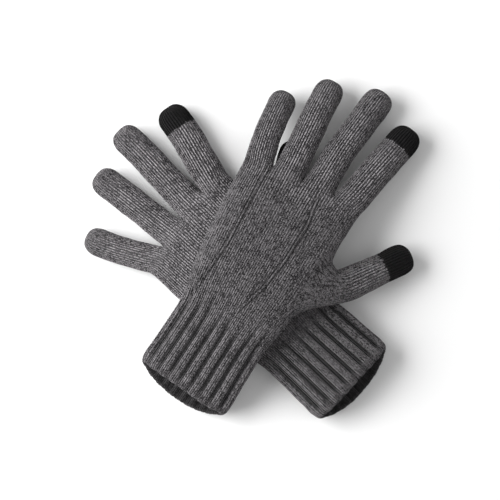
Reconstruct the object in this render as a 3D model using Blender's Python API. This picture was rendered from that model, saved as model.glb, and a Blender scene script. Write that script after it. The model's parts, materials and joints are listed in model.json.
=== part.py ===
"""A pair of knitted touchscreen gloves lying on a table, the left glove across the right one.

Each glove is a hollow knitted hand with a ribbed cuff, four fingers in three stretches, a thumb in
two, and closed black tips of conductive yarn on the index finger and the thumb. The right glove lies
flat with its palm up. The left glove lies on it with its palm down, so it arches over the right hand
and comes down to the table at its cuff and at its fingertips.

Units are metres. Each glove is drawn in its own space: +X is the thumb's side, +Y runs from the
cuff's mouth to the fingertips, and +Z is up from the table. Empties carry the joints: a joint empty's
X axis is the hinge, and a positive turn folds the piece up off the table, or a thumb in sideways.
"""

import math

import bmesh
import bpy
from mathutils import Matrix, Vector

# --- driving dimensions -------------------------------------------------------------------------

FABRIC = 0.0020  # thickness of the knitted wall
GAP = 0.0003  # clearance between neighbouring pieces
STACK_GAP = 0.0009  # clearance between the lower glove's top and the upper glove's underside

CUFF_LENGTH = 0.050
MOUTH_WIDTH = 0.0720
MOUTH_DEPTH = 0.0240
MOUTH_LEAN = 0.0080  # how much further the cuff's lower wall reaches than its upper wall
EDGE_LENGTH = 0.0016  # the overcast edge around the cuff's mouth
EDGE_PROUD = 0.0003  # how far the overcast edge stands out from the cuff's faces

WRIST_WIDTH = 0.0695
WRIST_DEPTH = 0.0215
HEEL_WIDTH = 0.0780  # across the heel of the hand, before the thumb leaves it
PALM_WIDTH = 0.0860  # across the middle of the palm
PALM_DEPTH = 0.0225
KNUCKLE_DEPTH = 0.0178
HEEL_Y = 0.070
PALM_Y = 0.115
PALM_END = 0.1615  # where the palm closes between the fingers, at its middle
KNUCKLE_SLANT = 0.13  # the knuckles' line runs further out on the index finger's side

WEB = 0.0016  # between neighbouring fingers at their roots

FINGERS = {  # width, depth, lengths of the three stretches
    "little": (0.0195, 0.0138, (0.0210, 0.0155, 0.0195)),
    "ring": (0.0210, 0.0148, (0.0310, 0.0220, 0.0248)),
    "middle": (0.0214, 0.0150, (0.0350, 0.0256, 0.0268)),
    "index": (0.0226, 0.0150, (0.0280, 0.0215, 0.0235)),
}
STRETCHES = ("proximal", "middle", "distal")
ROOT_STEP = 0.0015  # from the palm's end to each finger's first fold

THUMB_WIDTH = 0.0235
THUMB_END_WIDTH = 0.0205
THUMB_DEPTH = 0.0148
THUMB_ROOT_Y = 0.1190
THUMB_LENGTHS = (0.0247, 0.0306)
THUMB_REACH = 0.0400  # how far the thumb's root runs back into the palm
THUMB_BALL = (0.0165, 0.0135)  # its width and depth there

INDEX_TIP = 0.0165  # length of the black conductive tips
THUMB_TIP = 0.0185

# How each glove lies: how far its knuckles sit towards the thumb, how far the thumb's root stands off
# the palm, how much its fingers are drawn out in length, the directions of the stretches in degrees
# from the glove's +Y towards the thumb, and the heights of their undersides above the table at the
# root, at each fold and at the tip.
LEFT_LAY = {
    "knuckles": -0.0089,
    "thumb_off": 0.0040,
    "pull": {"little": 1.0, "ring": 1.0, "middle": 1.0, "index": 1.0, "thumb": 1.0},
    "little": ((-17.5, -12.5, -12.5), (0.0165, 0.0156, 0.0085, 0.0004)),
    "ring": ((-9.0, -9.3, -9.5), (0.0165, 0.0140, 0.0070, 0.0004)),
    "middle": ((-3.5, 2.0, 3.5), (0.0165, 0.0105, 0.0052, 0.0004)),
    "index": ((5.0, 7.0, 8.0), (0.0165, 0.0110, 0.0055, 0.0004)),
    "thumb": ((27.5, 27.5), (0.0170, 0.0088, 0.0004)),
}
RIGHT_LAY = {
    "knuckles": 0.0045,
    "thumb_off": 0.0,
    "pull": {"little": 0.94, "ring": 0.905, "middle": 0.888, "index": 0.86, "thumb": 0.88},
    "little": ((-28.0, -26.0, -24.0), (0.0, 0.0, 0.0, 0.0)),
    "ring": ((-5.0, -4.5, -4.0), (0.0, 0.0, 0.0, 0.0)),
    "middle": ((4.0, 5.0, 5.5), (0.0, 0.0, 0.0, 0.0)),
    "index": ((16.5, 16.5, 16.0), (0.0, 0.0, 0.0, 0.0)),
    "thumb": ((50.0, 57.0), (0.0, 0.0, 0.0)),
}

# Where the right glove's mouth lies in the left glove's space, and how far it is turned.
RIGHT_PLACE = (0.0960, 0.0687)
RIGHT_TURN = math.radians(81.0)

HAND_SIDES = 28
FINGER_SIDES = 16
HAND_SHAPE = 2.3  # 2 is an ellipse, and more is squarer
FINGER_SHAPE = 2.1
DOME_STEPS = 4
SETTLE = 1.06  # how much deeper the lower glove's section is made before it is cut level below
UP = Vector((0, 0, 1))

YARN_GREY = (0.115, 0.110, 0.114, 1)
YARN_EDGE = (0.090, 0.086, 0.090, 1)
YARN_BLACK = (0.012, 0.011, 0.012, 1)


# --- materials and small helpers ----------------------------------------------------------------


def material(name, colour, roughness):
    made = bpy.data.materials.new(name)
    made.use_nodes = True
    shader = made.node_tree.nodes["Principled BSDF"]
    shader.inputs["Base Color"].default_value = colour
    shader.inputs["Roughness"].default_value = roughness
    shader.inputs["Metallic"].default_value = 0.0
    return made


def smoothed(share):
    """0 to 1 with level ends."""
    return share * share * (3 - 2 * share)


def eased(y, knots):
    """The value at y of a smooth line through (y, value) knots, level beyond its ends."""
    if y <= knots[0][0]:
        return knots[0][1]
    for (y0, v0), (y1, v1) in zip(knots, knots[1:]):
        if y <= y1:
            return v0 + (v1 - v0) * smoothed((y - y0) / (y1 - y0))
    return knots[-1][1]


def curved(y, knots):
    """As eased, but with a slope that runs on through the knots: a Catmull-Rom spline."""
    if y <= knots[0][0]:
        return knots[0][1]
    if y >= knots[-1][0]:
        return knots[-1][1]
    i = next(k for k in range(len(knots) - 1) if y <= knots[k + 1][0])
    (y0, v0), (y1, v1) = knots[i], knots[i + 1]
    before, after = knots[max(i - 1, 0)], knots[min(i + 2, len(knots) - 1)]
    span = y1 - y0
    slope0 = (v1 - before[1]) / (y1 - before[0])
    slope1 = (after[1] - v0) / (after[0] - y0)
    t = (y - y0) / span
    return (
        v0 * (2 * t**3 - 3 * t**2 + 1)
        + slope0 * span * (t**3 - 2 * t**2 + t)
        + v1 * (3 * t**2 - 2 * t**3)
        + slope1 * span * (t**3 - t**2)
    )


# --- the cross-sections -------------------------------------------------------------------------


def ring_points(centre, forward, width, depth, sides, shape, floor=None, lean=0.0):
    """A closed ring around centre, across forward: an ellipse squared by shape, cut level at floor."""
    across = forward.cross(UP).normalized()
    up = across.cross(forward).normalized()
    points = []
    for i in range(sides):
        turn = 2 * math.pi * i / sides
        x, z = math.cos(turn), math.sin(turn)
        x = math.copysign(abs(x) ** (2 / shape), x)
        z = math.copysign(abs(z) ** (2 / shape), z)
        p = centre + across * (x * width / 2) + up * (z * depth / 2) + forward * (z * lean / 2)
        if floor is not None:
            p.z = max(p.z, floor)
        points.append(p)
    return points


def first_ring(bm, points):
    ring = bmesh.ops.create_circle(bm, segments=len(points), radius=1)["verts"]
    for vertex, point in zip(ring, points):
        vertex.co = point
    return ring


def next_ring(bm, ring, points):
    """Extrudes a ring's edges into the next ring, and moves that one to points."""
    edges = [bm.edges.get((a, b)) for a, b in zip(ring, ring[1:] + ring[:1])]
    made = bmesh.ops.extrude_edge_only(bm, edges=edges)["geom"]
    fresh = {v for v in made if isinstance(v, bmesh.types.BMVert)}
    out = []
    for vertex, point in zip(ring, points):
        twin = next(e.other_vert(vertex) for e in vertex.link_edges if e.other_vert(vertex) in fresh)
        twin.co = point
        out.append(twin)
    return out


def object_from(bm, name, finish, smooth=True):
    bmesh.ops.remove_doubles(bm, verts=bm.verts, dist=1e-7)
    bmesh.ops.recalc_face_normals(bm, faces=bm.faces)
    mesh = bpy.data.meshes.new(name)
    bm.to_mesh(mesh)
    bm.free()
    if smooth:
        mesh.shade_smooth()
        mesh.set_sharp_from_angle(angle=math.radians(50))
    made = bpy.data.objects.new(name, mesh)
    bpy.context.scene.collection.objects.link(made)
    if finish:
        mesh.materials.append(finish)
    return made


def open_tube(name, outer, inner, finish):
    """A hollow tube open at both ends: up its outer rings and back down its inner ones."""
    bm = bmesh.new()
    ring = first_ring(bm, outer[0])
    for points in outer[1:] + inner[::-1] + outer[:1]:
        ring = next_ring(bm, ring, points)
    return object_from(bm, name, finish)


def closed_tube(name, outer, inner, outer_pole, inner_pole, finish):
    """A hollow tube closed at its far end: both walls grow from the open end to their own pole."""
    bm = bmesh.new()
    mouth = first_ring(bm, outer[0])
    ring = mouth
    for points in outer[1:] + [[outer_pole] * len(mouth)]:
        ring = next_ring(bm, ring, points)
    ring = mouth
    for points in inner + [[inner_pole] * len(mouth)]:
        ring = next_ring(bm, ring, points)
    return object_from(bm, name, finish)


def plug(name, rings):
    """A solid bar through the rings, with a flat face at each end, for a Boolean."""
    bm = bmesh.new()
    ring = first_ring(bm, rings[0])
    bm.faces.new(ring)
    for points in rings[1:]:
        ring = next_ring(bm, ring, points)
    bm.faces.new(ring)
    return object_from(bm, name, None, smooth=False)


def boolean(target, tool, operation):
    step = target.modifiers.new(tool.name, "BOOLEAN")
    step.operation = operation
    step.object = tool
    step.solver = "EXACT"
    tool.hide_render = True
    tool.display_type = "WIRE"


# --- a glove's shape ----------------------------------------------------------------------------


KNUCKLE_WIDTH = sum(f[0] for f in FINGERS.values()) + WEB * (len(FINGERS) - 1)

WIDTHS = (
    (0.0, MOUTH_WIDTH),
    (CUFF_LENGTH, WRIST_WIDTH),
    (HEEL_Y, HEEL_WIDTH),
    (PALM_Y, PALM_WIDTH),
    (PALM_END, KNUCKLE_WIDTH),
)
DEPTHS = (
    (0.0, MOUTH_DEPTH),
    (CUFF_LENGTH, WRIST_DEPTH),
    (HEEL_Y, PALM_DEPTH),
    (PALM_Y, PALM_DEPTH),
    (PALM_END, KNUCKLE_DEPTH),
)

KNUCKLE_LIFT = LEFT_LAY["ring"][1][0]
CROSSING_Y = RIGHT_PLACE[1] + RIGHT_PLACE[0] / math.tan(RIGHT_TURN)
STACK_HEIGHT = PALM_DEPTH + STACK_GAP
ARCH = (  # height of the upper glove's underside over the table along its own length
    (0.0, 0.0),
    (CROSSING_Y - 0.54 * PALM_WIDTH, 0.70 * STACK_HEIGHT),
    (CROSSING_Y - 0.25 * PALM_WIDTH, 0.97 * STACK_HEIGHT),
    (CROSSING_Y + 0.05 * PALM_WIDTH, STACK_HEIGHT),
    (CROSSING_Y + 0.40 * PALM_WIDTH, 0.93 * STACK_HEIGHT),
    (PALM_END, KNUCKLE_LIFT),
)


def arch(y, lay):
    return curved(y, ARCH) if lay is LEFT_LAY else 0.0


def centre_x(y, lay):
    """The hand drifts sideways from its wrist to its knuckles."""
    return eased(y, ((CUFF_LENGTH, 0.0), (PALM_END, lay["knuckles"])))


def hand_ring(y, lay, inset=0.0, lean=0.0, at=None):
    """The glove's cross-section at y, shrunk by inset. at moves it along without changing its size."""
    place = y if at is None else at
    depth = curved(y, DEPTHS)
    middle = centre_x(y, lay)
    # The lower glove lies on the table: its section is a little deeper, and cut level there.
    resting = lay is RIGHT_LAY
    height = depth * SETTLE if resting else depth
    ring = ring_points(
        Vector((middle, place, arch(place, lay) + depth - height / 2)),
        Vector((0, 1, 0)),
        curved(y, WIDTHS) - 2 * inset,
        height - 2 * inset,
        HAND_SIDES,
        HAND_SHAPE,
        floor=inset if resting else None,
        lean=lean,
    )
    slant = KNUCKLE_SLANT * eased(place, ((HEEL_Y, 0.0), (PALM_END, 1.0)))
    for p in ring:
        p.y += slant * (p.x - middle)
    return ring


def finger_roots(lay):
    """Each finger's root, side by side along the knuckles' line with a web between them."""
    x, roots = lay["knuckles"] - KNUCKLE_WIDTH / 2, {}
    for name, (width, _, _) in FINGERS.items():
        outermost = x + width - lay["knuckles"]
        roots[name] = (x + width / 2, PALM_END + KNUCKLE_SLANT * outermost + ROOT_STEP)
        x += width + WEB
    return roots


def chain(name, lay):
    """The folds of a finger from its root to its tip: their places and the directions between them."""
    angles, heights = lay[name]
    if name == "thumb":
        edge = centre_x(THUMB_ROOT_Y, lay) + curved(THUMB_ROOT_Y, WIDTHS) / 2
        root = (edge + lay["thumb_off"] + THUMB_WIDTH / 2, THUMB_ROOT_Y)
        depth, lengths = THUMB_DEPTH, THUMB_LENGTHS
    else:
        root, depth, lengths = finger_roots(lay)[name], FINGERS[name][1], FINGERS[name][2]
    places = [Vector((root[0], root[1], heights[0] + depth / 2))]
    for angle, length, low in zip(angles, lengths, heights[1:]):
        turn = math.radians(angle)
        step = Vector((math.sin(turn), math.cos(turn), 0)) * length * lay["pull"][name]
        place = places[-1] + step
        place.z = low + depth / 2
        places.append(place)
    ways = [(b - a).normalized() for a, b in zip(places, places[1:])]
    return places, ways


def fold_faces(name, ways):
    """The direction that each fold's cross-section faces: a mitre where two stretches meet.

    A finger's root is mitred to the knuckles' line, and the thumb's root is square to the thumb.
    """
    knuckles = Vector((-KNUCKLE_SLANT, 1, 0)).normalized()
    root = ways[0] if name == "thumb" else (knuckles + ways[0]).normalized()
    return [root] + [(a + b).normalized() for a, b in zip(ways, ways[1:])] + [ways[-1]]


def finger_ring(place, way, width, depth, inset=0.0):
    return ring_points(
        place, way, width - 2 * inset, depth - 2 * inset, FINGER_SIDES, FINGER_SHAPE
    )


def stretch(name, start, end, start_way, end_way, size, finish, end_width=None):
    """An open stretch of a finger between two folds."""
    width, depth = size
    a, b = start + start_way * GAP / 2, end - end_way * GAP / 2
    walls = [
        [
            finger_ring(a, start_way, width, depth, inset),
            finger_ring(b, end_way, end_width or width, depth, inset),
        ]
        for inset in (0.0, FABRIC)
    ]
    return open_tube(name, walls[0], walls[1], finish)


def fingertip(name, start, tip, start_way, way, size, finish):
    """A closed fingertip: straight, then a blunt dome half as long as the finger is wide."""
    width, depth = size
    base = start + start_way * GAP / 2
    dome = 0.45 * width
    walls = []
    for inset in (0.0, FABRIC):
        length = dome - inset * 0.6
        foot = tip - way * dome
        rings = [finger_ring(base, start_way, width, depth, inset)]
        for k in range(DOME_STEPS):
            lift = math.sin(math.pi / 2 * k / DOME_STEPS)
            shrink = math.cos(math.pi / 2 * k / DOME_STEPS) ** 0.75
            rings.append(
                finger_ring(
                    foot + way * (length * lift),
                    way,
                    (width - 2 * inset) * shrink,
                    (depth - 2 * inset) * shrink,
                )
            )
        walls.append(rings)
    return closed_tube(
        name, walls[0], walls[1], tip, tip - way * FABRIC * 0.6, finish
    )


def root_bar(finger, lay, inset, back):
    """A finger's root: a bar from inside the palm out to the first fold, starting back further in."""
    places, ways = chain(finger, lay)
    root, way = places[0], fold_faces(finger, ways)[0]
    level = Vector((ways[0].x, ways[0].y, 0)).normalized()
    if finger == "thumb":
        width, depth, reach = THUMB_WIDTH, THUMB_DEPTH, THUMB_REACH
        start_width, start_depth = THUMB_BALL
    else:
        width, depth = FINGERS[finger][:2]
        reach = root.y - PALM_END + 0.016
        start_width = width
        start_depth = 0.5 * (depth + KNUCKLE_DEPTH)
    start = root - level * (reach + back)
    start.z = arch(start.y, lay) + curved(start.y, DEPTHS) / 2
    end = root - way * GAP / 2
    half = start.lerp(end, 0.5)
    rings = [
        finger_ring(start, level, start_width, start_depth, inset),
        finger_ring(
            half, level, (start_width + 2 * width) / 3, (start_depth + 2 * depth) / 3, inset
        ),
    ]
    if inset:
        # A bore runs straight through the root's open end.
        rings += [finger_ring(end + way * k * FABRIC, way, width, depth, inset) for k in (-1, 1)]
    else:
        rings.append(finger_ring(end, way, width, depth))
    return rings


def hand(name, lay, finish):
    """The knitted hand: one hollow shell with a port for the cuff, one for each finger and the thumb."""
    wrist = CUFF_LENGTH + GAP / 2
    stations = [wrist + (PALM_END - wrist) * k / 9 for k in range(10)]
    shell = plug(name, [hand_ring(y, lay) for y in stations])
    shell.data.materials.append(finish)
    hollows = [wrist + (PALM_END - FABRIC - wrist) * k / 9 for k in range(10)]
    hollow = [hand_ring(wrist, lay, FABRIC, at=wrist - 0.01)]
    hollow += [hand_ring(y, lay, FABRIC) for y in hollows]
    fingers = list(FINGERS) + ["thumb"]
    tools = [(plug(f"{name}_{f}_root", root_bar(f, lay, 0.0, 0.0)), "UNION") for f in fingers]
    tools.append((plug(f"{name}_hollow", hollow), "DIFFERENCE"))
    for f in fingers:
        tools.append((plug(f"{name}_{f}_bore", root_bar(f, lay, FABRIC, 0.002)), "DIFFERENCE"))
    for tool, operation in tools:
        boolean(shell, tool, operation)
    return shell, [tool for tool, _ in tools]


def cuff(name, lay, finish):
    stations = [CUFF_LENGTH * k / 5 for k in range(6)]
    walls = []
    for inset in (0.0, FABRIC):
        rings = []
        for y in stations:
            lean = MOUTH_LEAN * (1 - y / CUFF_LENGTH)
            at = y - GAP / 2 if y == stations[-1] else y
            rings.append(hand_ring(y, lay, inset, lean, at))
        walls.append(rings)
    return open_tube(name, walls[0], walls[1], finish)


def cuff_edge(name, lay, finish):
    """The overcast edge: a soft ring of yarn around the cuff's mouth."""
    near, far = -GAP, -GAP - EDGE_LENGTH
    walls = [
        [hand_ring(0.0, lay, inset, MOUTH_LEAN, at) for at in (far, near)]
        for inset in (-EDGE_PROUD, FABRIC + EDGE_PROUD)
    ]
    return open_tube(name, walls[0], walls[1], finish)


# --- joints and assembly ------------------------------------------------------------------------


class Rig:
    """Puts a glove's pieces and joint empties under one empty, all given in the glove's own space."""

    def __init__(self, name, matrix):
        self.glove = name
        self.spaces = {}
        self.base = self.empty(name, None, Matrix.Identity(4))
        self.base.matrix_basis = matrix

    def empty(self, name, parent, matrix):
        made = bpy.data.objects.new(name, None)
        made.empty_display_size = 0.01
        bpy.context.scene.collection.objects.link(made)
        above = self.spaces[parent.name] if parent else Matrix.Identity(4)
        made.parent = parent
        made.matrix_basis = above.inverted() @ matrix
        self.spaces[made.name] = matrix
        return made

    def hinge(self, name, parent, point, axis, way):
        """A joint empty with its X axis along the hinge, and its Y axis as near way as it can be."""
        x = axis.normalized()
        y = (way - x * way.dot(x)).normalized()
        turn = Matrix((x, y, x.cross(y))).transposed().to_4x4()
        return self.empty(f"{self.glove}_{name}", parent, Matrix.Translation(point) @ turn)

    def hang(self, piece, parent):
        piece.data.transform(self.spaces[parent.name].inverted())
        piece.parent = parent


def fold_axis(place, way, depth):
    """A finger folds up off the table, about a line across its upper face."""
    across = way.cross(UP).normalized()
    up = across.cross(way).normalized()
    return place + up * (depth / 2), across


def inner_edge(place, way, width):
    """The thumb bends in towards the index finger, about an upright line on that side of it."""
    return place - way.cross(UP).normalized() * (width / 2)


def build_fingers(rig, glove, lay, grey, black):
    for name, (width, depth, _) in FINGERS.items():
        places, ways = chain(name, lay)
        faces = fold_faces(name, ways)
        parent = rig.base
        for k, part in enumerate(STRETCHES):
            point, axis = fold_axis(places[k], faces[k], depth)
            joint = rig.hinge(f"{name}_{part}_joint", parent, point, axis, ways[k])
            label = f"{glove}_{name}_{part}"
            if part != STRETCHES[-1]:
                piece = stretch(
                    label, places[k], places[k + 1], faces[k], faces[k + 1], (width, depth), grey
                )
                rig.hang(piece, joint)
            elif name == "index":
                seam = places[k + 1] - ways[k] * INDEX_TIP
                rig.hang(
                    stretch(label, places[k], seam, faces[k], ways[k], (width, depth), grey), joint
                )
                tip = fingertip(
                    f"{glove}_index_touch_tip", seam, places[k + 1], ways[k], ways[k],
                    (width, depth), black,
                )
                rig.hang(tip, joint)
            else:
                piece = fingertip(
                    label, places[k], places[k + 1], faces[k], ways[k], (width, depth), grey
                )
                rig.hang(piece, joint)
            parent = joint


def build_thumb(rig, glove, lay, grey, black):
    places, ways = chain("thumb", lay)
    faces = fold_faces("thumb", ways)
    halfway = 0.5 * (THUMB_WIDTH + THUMB_END_WIDTH)
    crotch = inner_edge(places[0], faces[0], THUMB_WIDTH)
    swing = rig.hinge("thumb_root_joint", rig.base, crotch, UP, ways[0])
    near = stretch(
        f"{glove}_thumb_proximal", places[0], places[1], faces[0], faces[1],
        (THUMB_WIDTH, THUMB_DEPTH), grey, halfway,
    )
    rig.hang(near, swing)
    bend = inner_edge(places[1], faces[1], halfway)
    fold = rig.hinge("thumb_distal_joint", swing, bend, UP, ways[1])
    seam = places[2] - ways[1] * THUMB_TIP
    far = stretch(
        f"{glove}_thumb_distal", places[1], seam, faces[1], ways[1],
        (halfway, THUMB_DEPTH), grey, THUMB_END_WIDTH,
    )
    rig.hang(far, fold)
    tip = fingertip(
        f"{glove}_thumb_touch_tip", seam, places[2], ways[1], ways[1],
        (THUMB_END_WIDTH, THUMB_DEPTH), black,
    )
    rig.hang(tip, fold)


def build_glove(glove, lay, matrix, finishes):
    grey, edge, black = finishes
    rig = Rig(glove, matrix)
    shell, tools = hand(f"{glove}_hand", lay, grey)
    for piece in [shell] + tools:
        rig.hang(piece, rig.base)
    # The cuff folds up off the table about a line across its upper face.
    wrist = Vector((0, CUFF_LENGTH, arch(CUFF_LENGTH, lay) + WRIST_DEPTH))
    joint = rig.hinge("wrist_joint", rig.base, wrist, Vector((-1, 0, 0)), Vector((0, 1, 0)))
    rig.hang(cuff(f"{glove}_cuff", lay, grey), joint)
    rig.hang(cuff_edge(f"{glove}_cuff_edge", lay, edge), joint)
    build_fingers(rig, glove, lay, grey, black)
    build_thumb(rig, glove, lay, grey, black)
    return rig.base


def shown_box():
    bpy.context.view_layer.update()
    graph = bpy.context.evaluated_depsgraph_get()
    points = []
    for piece in bpy.context.scene.objects:
        if piece.type == "MESH" and not piece.hide_render:
            made = piece.evaluated_get(graph)
            points += [made.matrix_world @ v.co for v in made.to_mesh().vertices]
            made.to_mesh_clear()
    low = Vector([min(p[k] for p in points) for k in range(3)])
    high = Vector([max(p[k] for p in points) for k in range(3)])
    return low, high


def main():
    for old in list(bpy.data.objects):
        bpy.data.objects.remove(old)
    finishes = (
        material("grey_yarn", YARN_GREY, 0.92),
        material("edge_yarn", YARN_EDGE, 0.92),
        material("black_conductive_yarn", YARN_BLACK, 0.85),
    )
    turned = Matrix.Translation((*RIGHT_PLACE, 0)) @ Matrix.Rotation(RIGHT_TURN, 4, "Z")
    gloves = [
        build_glove("left", LEFT_LAY, Matrix.Identity(4), finishes),
        build_glove("right", RIGHT_LAY, turned, finishes),
    ]
    # The origin is the middle of the pair on the table.
    low, high = shown_box()
    middle = Vector(((low.x + high.x) / 2, (low.y + high.y) / 2, low.z))
    for glove in gloves:
        glove.matrix_basis = Matrix.Translation(-middle) @ glove.matrix_basis
    bpy.context.view_layer.update()


main()
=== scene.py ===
# %% [markdown]
# # A pair of knitted touchscreen gloves
#
# Each glove is one piece of knitting in heathered grey yarn. It has a thick ribbed cuff, and black
# tips of conductive yarn on the index finger and the thumb. The solid model gives the place of every
# fold and fingertip. This script dresses it in knitting: a shape, a relief of stitches and a finish.

# %% Load the frame
import json
import math

import bmesh
import bpy
import numpy as np
from mathutils import Matrix, Vector, noise


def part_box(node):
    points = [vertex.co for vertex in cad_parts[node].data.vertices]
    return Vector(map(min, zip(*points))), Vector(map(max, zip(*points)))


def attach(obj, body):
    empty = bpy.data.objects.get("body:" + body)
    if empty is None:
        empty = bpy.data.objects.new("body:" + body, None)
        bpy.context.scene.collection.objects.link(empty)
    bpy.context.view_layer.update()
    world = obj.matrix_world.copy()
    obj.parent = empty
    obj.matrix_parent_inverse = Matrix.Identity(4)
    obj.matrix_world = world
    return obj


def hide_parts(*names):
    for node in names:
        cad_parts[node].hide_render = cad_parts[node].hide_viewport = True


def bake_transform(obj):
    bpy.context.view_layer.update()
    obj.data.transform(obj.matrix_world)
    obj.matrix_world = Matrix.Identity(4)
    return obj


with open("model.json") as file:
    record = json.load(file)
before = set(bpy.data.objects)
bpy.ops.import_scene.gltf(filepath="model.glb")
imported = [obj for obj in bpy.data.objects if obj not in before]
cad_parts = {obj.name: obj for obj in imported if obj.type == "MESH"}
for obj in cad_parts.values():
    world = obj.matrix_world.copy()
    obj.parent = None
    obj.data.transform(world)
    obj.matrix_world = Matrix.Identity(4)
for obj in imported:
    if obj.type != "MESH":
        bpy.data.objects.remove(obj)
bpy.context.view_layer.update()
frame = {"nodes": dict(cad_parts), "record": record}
joints = {joint["name"]: joint for joint in frame["record"]["behaviour"]["joints"]}
MM = 0.001
UP = Vector((0, 0, 1))

# %% [markdown]
# A glove is easiest to shape in its own space, with its thumb towards +X and its fingers towards +Y.
# The wrist's hinge runs straight across the glove, so it gives that space: its axis is the glove's -X,
# and it lies a known way up from the cuff's mouth.

# %% Each glove's own space
WRIST = 50 * MM


def glove_space(glove):
    """The matrix that takes a glove's own space to the frame."""
    hinge = joints[f"{glove}_wrist"]
    x = -Vector(hinge["axis"]).normalized()
    y = UP.cross(x)
    origin = Vector(hinge["pos_m"]) - y * WRIST
    origin.z = 0.0
    turn = Matrix((x, y, UP)).transposed().to_4x4()
    return Matrix.Translation(origin) @ turn


spaces = {glove: glove_space(glove) for glove in ("left", "right")}
print("left glove's mouth:", [round(v / MM, 1) for v in spaces["left"].translation])

# %% [markdown]
# The folds of a finger lie on its upper face, so the middle of the finger is half its depth below
# them. The depth comes from the lower glove, whose fingers lie level. The end of the line is the
# point of the solid fingertip that reaches furthest. A thumb's hinges stand on its inner side instead.

# %% The line through each finger
FINGERS = ("little", "ring", "middle", "index")
THUMB_WIDTH = 23.5 * MM
THUMB_BEND = 3.5 * MM  # how far the thumb's tip leans to its outer side


def furthest(node, start, way):
    """How far a node reaches from start along way."""
    return max((v.co - start).dot(way) for v in frame["nodes"][node].data.vertices)


def middle_of(node):
    low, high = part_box(node)
    return Vector([(a + b) / 2 for a, b in zip(low, high)])


def line_length(line):
    """The length of a line of points, in mm."""
    return sum((b - a).length for a, b in zip(line, line[1:])) / MM


def finger_line(glove, finger):
    """The points in the middle of a finger at its root, its two folds and its tip."""
    low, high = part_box(f"right_{finger}_proximal")
    depth = high[2] - low[2]
    hinges = [joints[f"{glove}_{finger}_{part}"] for part in ("knuckle", "middle", "end")]
    folds, axes = ([Vector(hinge[key]) for hinge in hinges] for key in ("pos_m", "axis"))
    node = f"{glove}_{finger}_" + ("touch_tip" if finger == "index" else "distal")
    middle = middle_of(node)
    points = []
    for fold, axis, beyond in zip(folds, axes, [*folds[1:], middle + UP * (depth / 2)]):
        up = axis.cross(beyond - fold).normalized()
        points.append(fold - up * (depth / 2))
    way = (middle - points[-1]).normalized()
    points.append(points[-1] + way * furthest(node, points[-1], way))
    return points


def thumb_line(glove):
    """The points in the middle of a thumb at its root, its fold and its tip."""
    hinges = [Vector(joints[f"{glove}_thumb_{part}"]["pos_m"]) for part in ("root", "end")]
    node = f"{glove}_thumb_touch_tip"
    first = (hinges[1] - hinges[0]).normalized()
    across = first.cross(UP).normalized()
    points = [hinge + across * (THUMB_WIDTH / 2) for hinge in hinges]
    way = (middle_of(node) - points[-1]).normalized()
    points.append(points[-1] + way * furthest(node, points[-1], way))
    points[-1] += across * THUMB_BEND
    return points


for finger in FINGERS:
    print(finger, "length", round(line_length(finger_line("left", finger)), 1), "mm")
print("thumb length", round(line_length(thumb_line("left")), 1), "mm")

# %% [markdown]
# The camera looks down on the pair, leaning a little towards the cuffs so that it sees into them. A
# long lens from far away keeps the gloves in proportion.

# %% Camera
VIEW_WIDTH = 350 * MM
CAMERA_DISTANCE = 1.6
LEAN = math.radians(8)  # from straight down
AIM = (-15.2, 105.7, 14)  # in the left glove's own space, in mm
VIEW_TURN = math.radians(34)  # between the left glove and the view's upright

left_x, left_y = (spaces["left"].to_3x3() @ Vector(v) for v in ((1, 0, 0), (0, 1, 0)))
view_up = left_y * math.cos(VIEW_TURN) - left_x * math.sin(VIEW_TURN)
aim = spaces["left"] @ Vector([along * MM for along in AIM])
away = UP * math.cos(LEAN) - view_up * math.sin(LEAN)
upright = (view_up - away * view_up.dot(away)).normalized()
view_right = upright.cross(away)
facing = Matrix((view_right, upright, away)).transposed().to_4x4()

camera_data = bpy.data.cameras.new("camera")
camera_data.sensor_width = 36.0
camera_data.lens = camera_data.sensor_width * CAMERA_DISTANCE / VIEW_WIDTH
camera_data.clip_end = 10.0
camera = bpy.data.objects.new("camera", camera_data)
camera.matrix_world = Matrix.Translation(aim + away * CAMERA_DISTANCE) @ facing
bpy.context.scene.collection.objects.link(camera)
bpy.context.scene.camera = camera
print("camera at", [round(v, 3) for v in camera.location])

# %% [markdown]
# ## Yarn
#
# Heathered yarn is spun from light and dark fibres, so each stitch has a shade of its own. A stocking
# stitch is a small V, and the Vs stand in columns, which a knitter calls wales. The knitting's UV map
# counts wales across and courses along, so the stitches can be drawn from it: a fold in V for the two legs
# of each stitch, a groove between wales darkened with painted shade, and a shade picked at random for every
# leg. The fuzz on brushed yarn catches light at grazing angles, which is the shader's sheen.

# %% A small helper for node trees


class Nodes:
    """Adds nodes to a material and joins them, so that a pattern reads like a formula."""

    def __init__(self, name):
        self.material = bpy.data.materials.new(name)
        self.material.use_nodes = True
        self.tree = self.material.node_tree
        self.shader = self.tree.nodes["Principled BSDF"]

    def add(self, kind, settings=None, **links):
        node = self.tree.nodes.new(kind)
        for key, value in (settings or {}).items():
            setattr(node, key, value)
        for key, value in links.items():
            socket = node.inputs[int(key[1:])] if key[0] == "_" else node.inputs[key.replace("_", " ")]
            self.link(value, socket)
        return node

    def link(self, value, socket):
        if isinstance(value, bpy.types.NodeSocket):
            self.tree.links.new(value, socket)
        else:
            socket.default_value = value

    def math(self, operation, a, b=0.0, c=0.0):
        return self.add("ShaderNodeMath", {"operation": operation}, _0=a, _1=b, _2=c).outputs[0]

    def ramp(self, value, low, high, start=0.0, end=1.0):
        """value from low to high, as start to end with soft ends."""
        settings = {"interpolation_type": "SMOOTHSTEP", "clamp": True}
        node = self.add("ShaderNodeMapRange", settings, _0=value, _1=low, _2=high, _3=start, _4=end)
        return node.outputs[0]

    def mix(self, share, a, b, blend="MIX"):
        settings = {"data_type": "RGBA", "blend_type": blend}
        return self.add("ShaderNodeMix", settings, _0=share, _6=a, _7=b).outputs[2]


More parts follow.
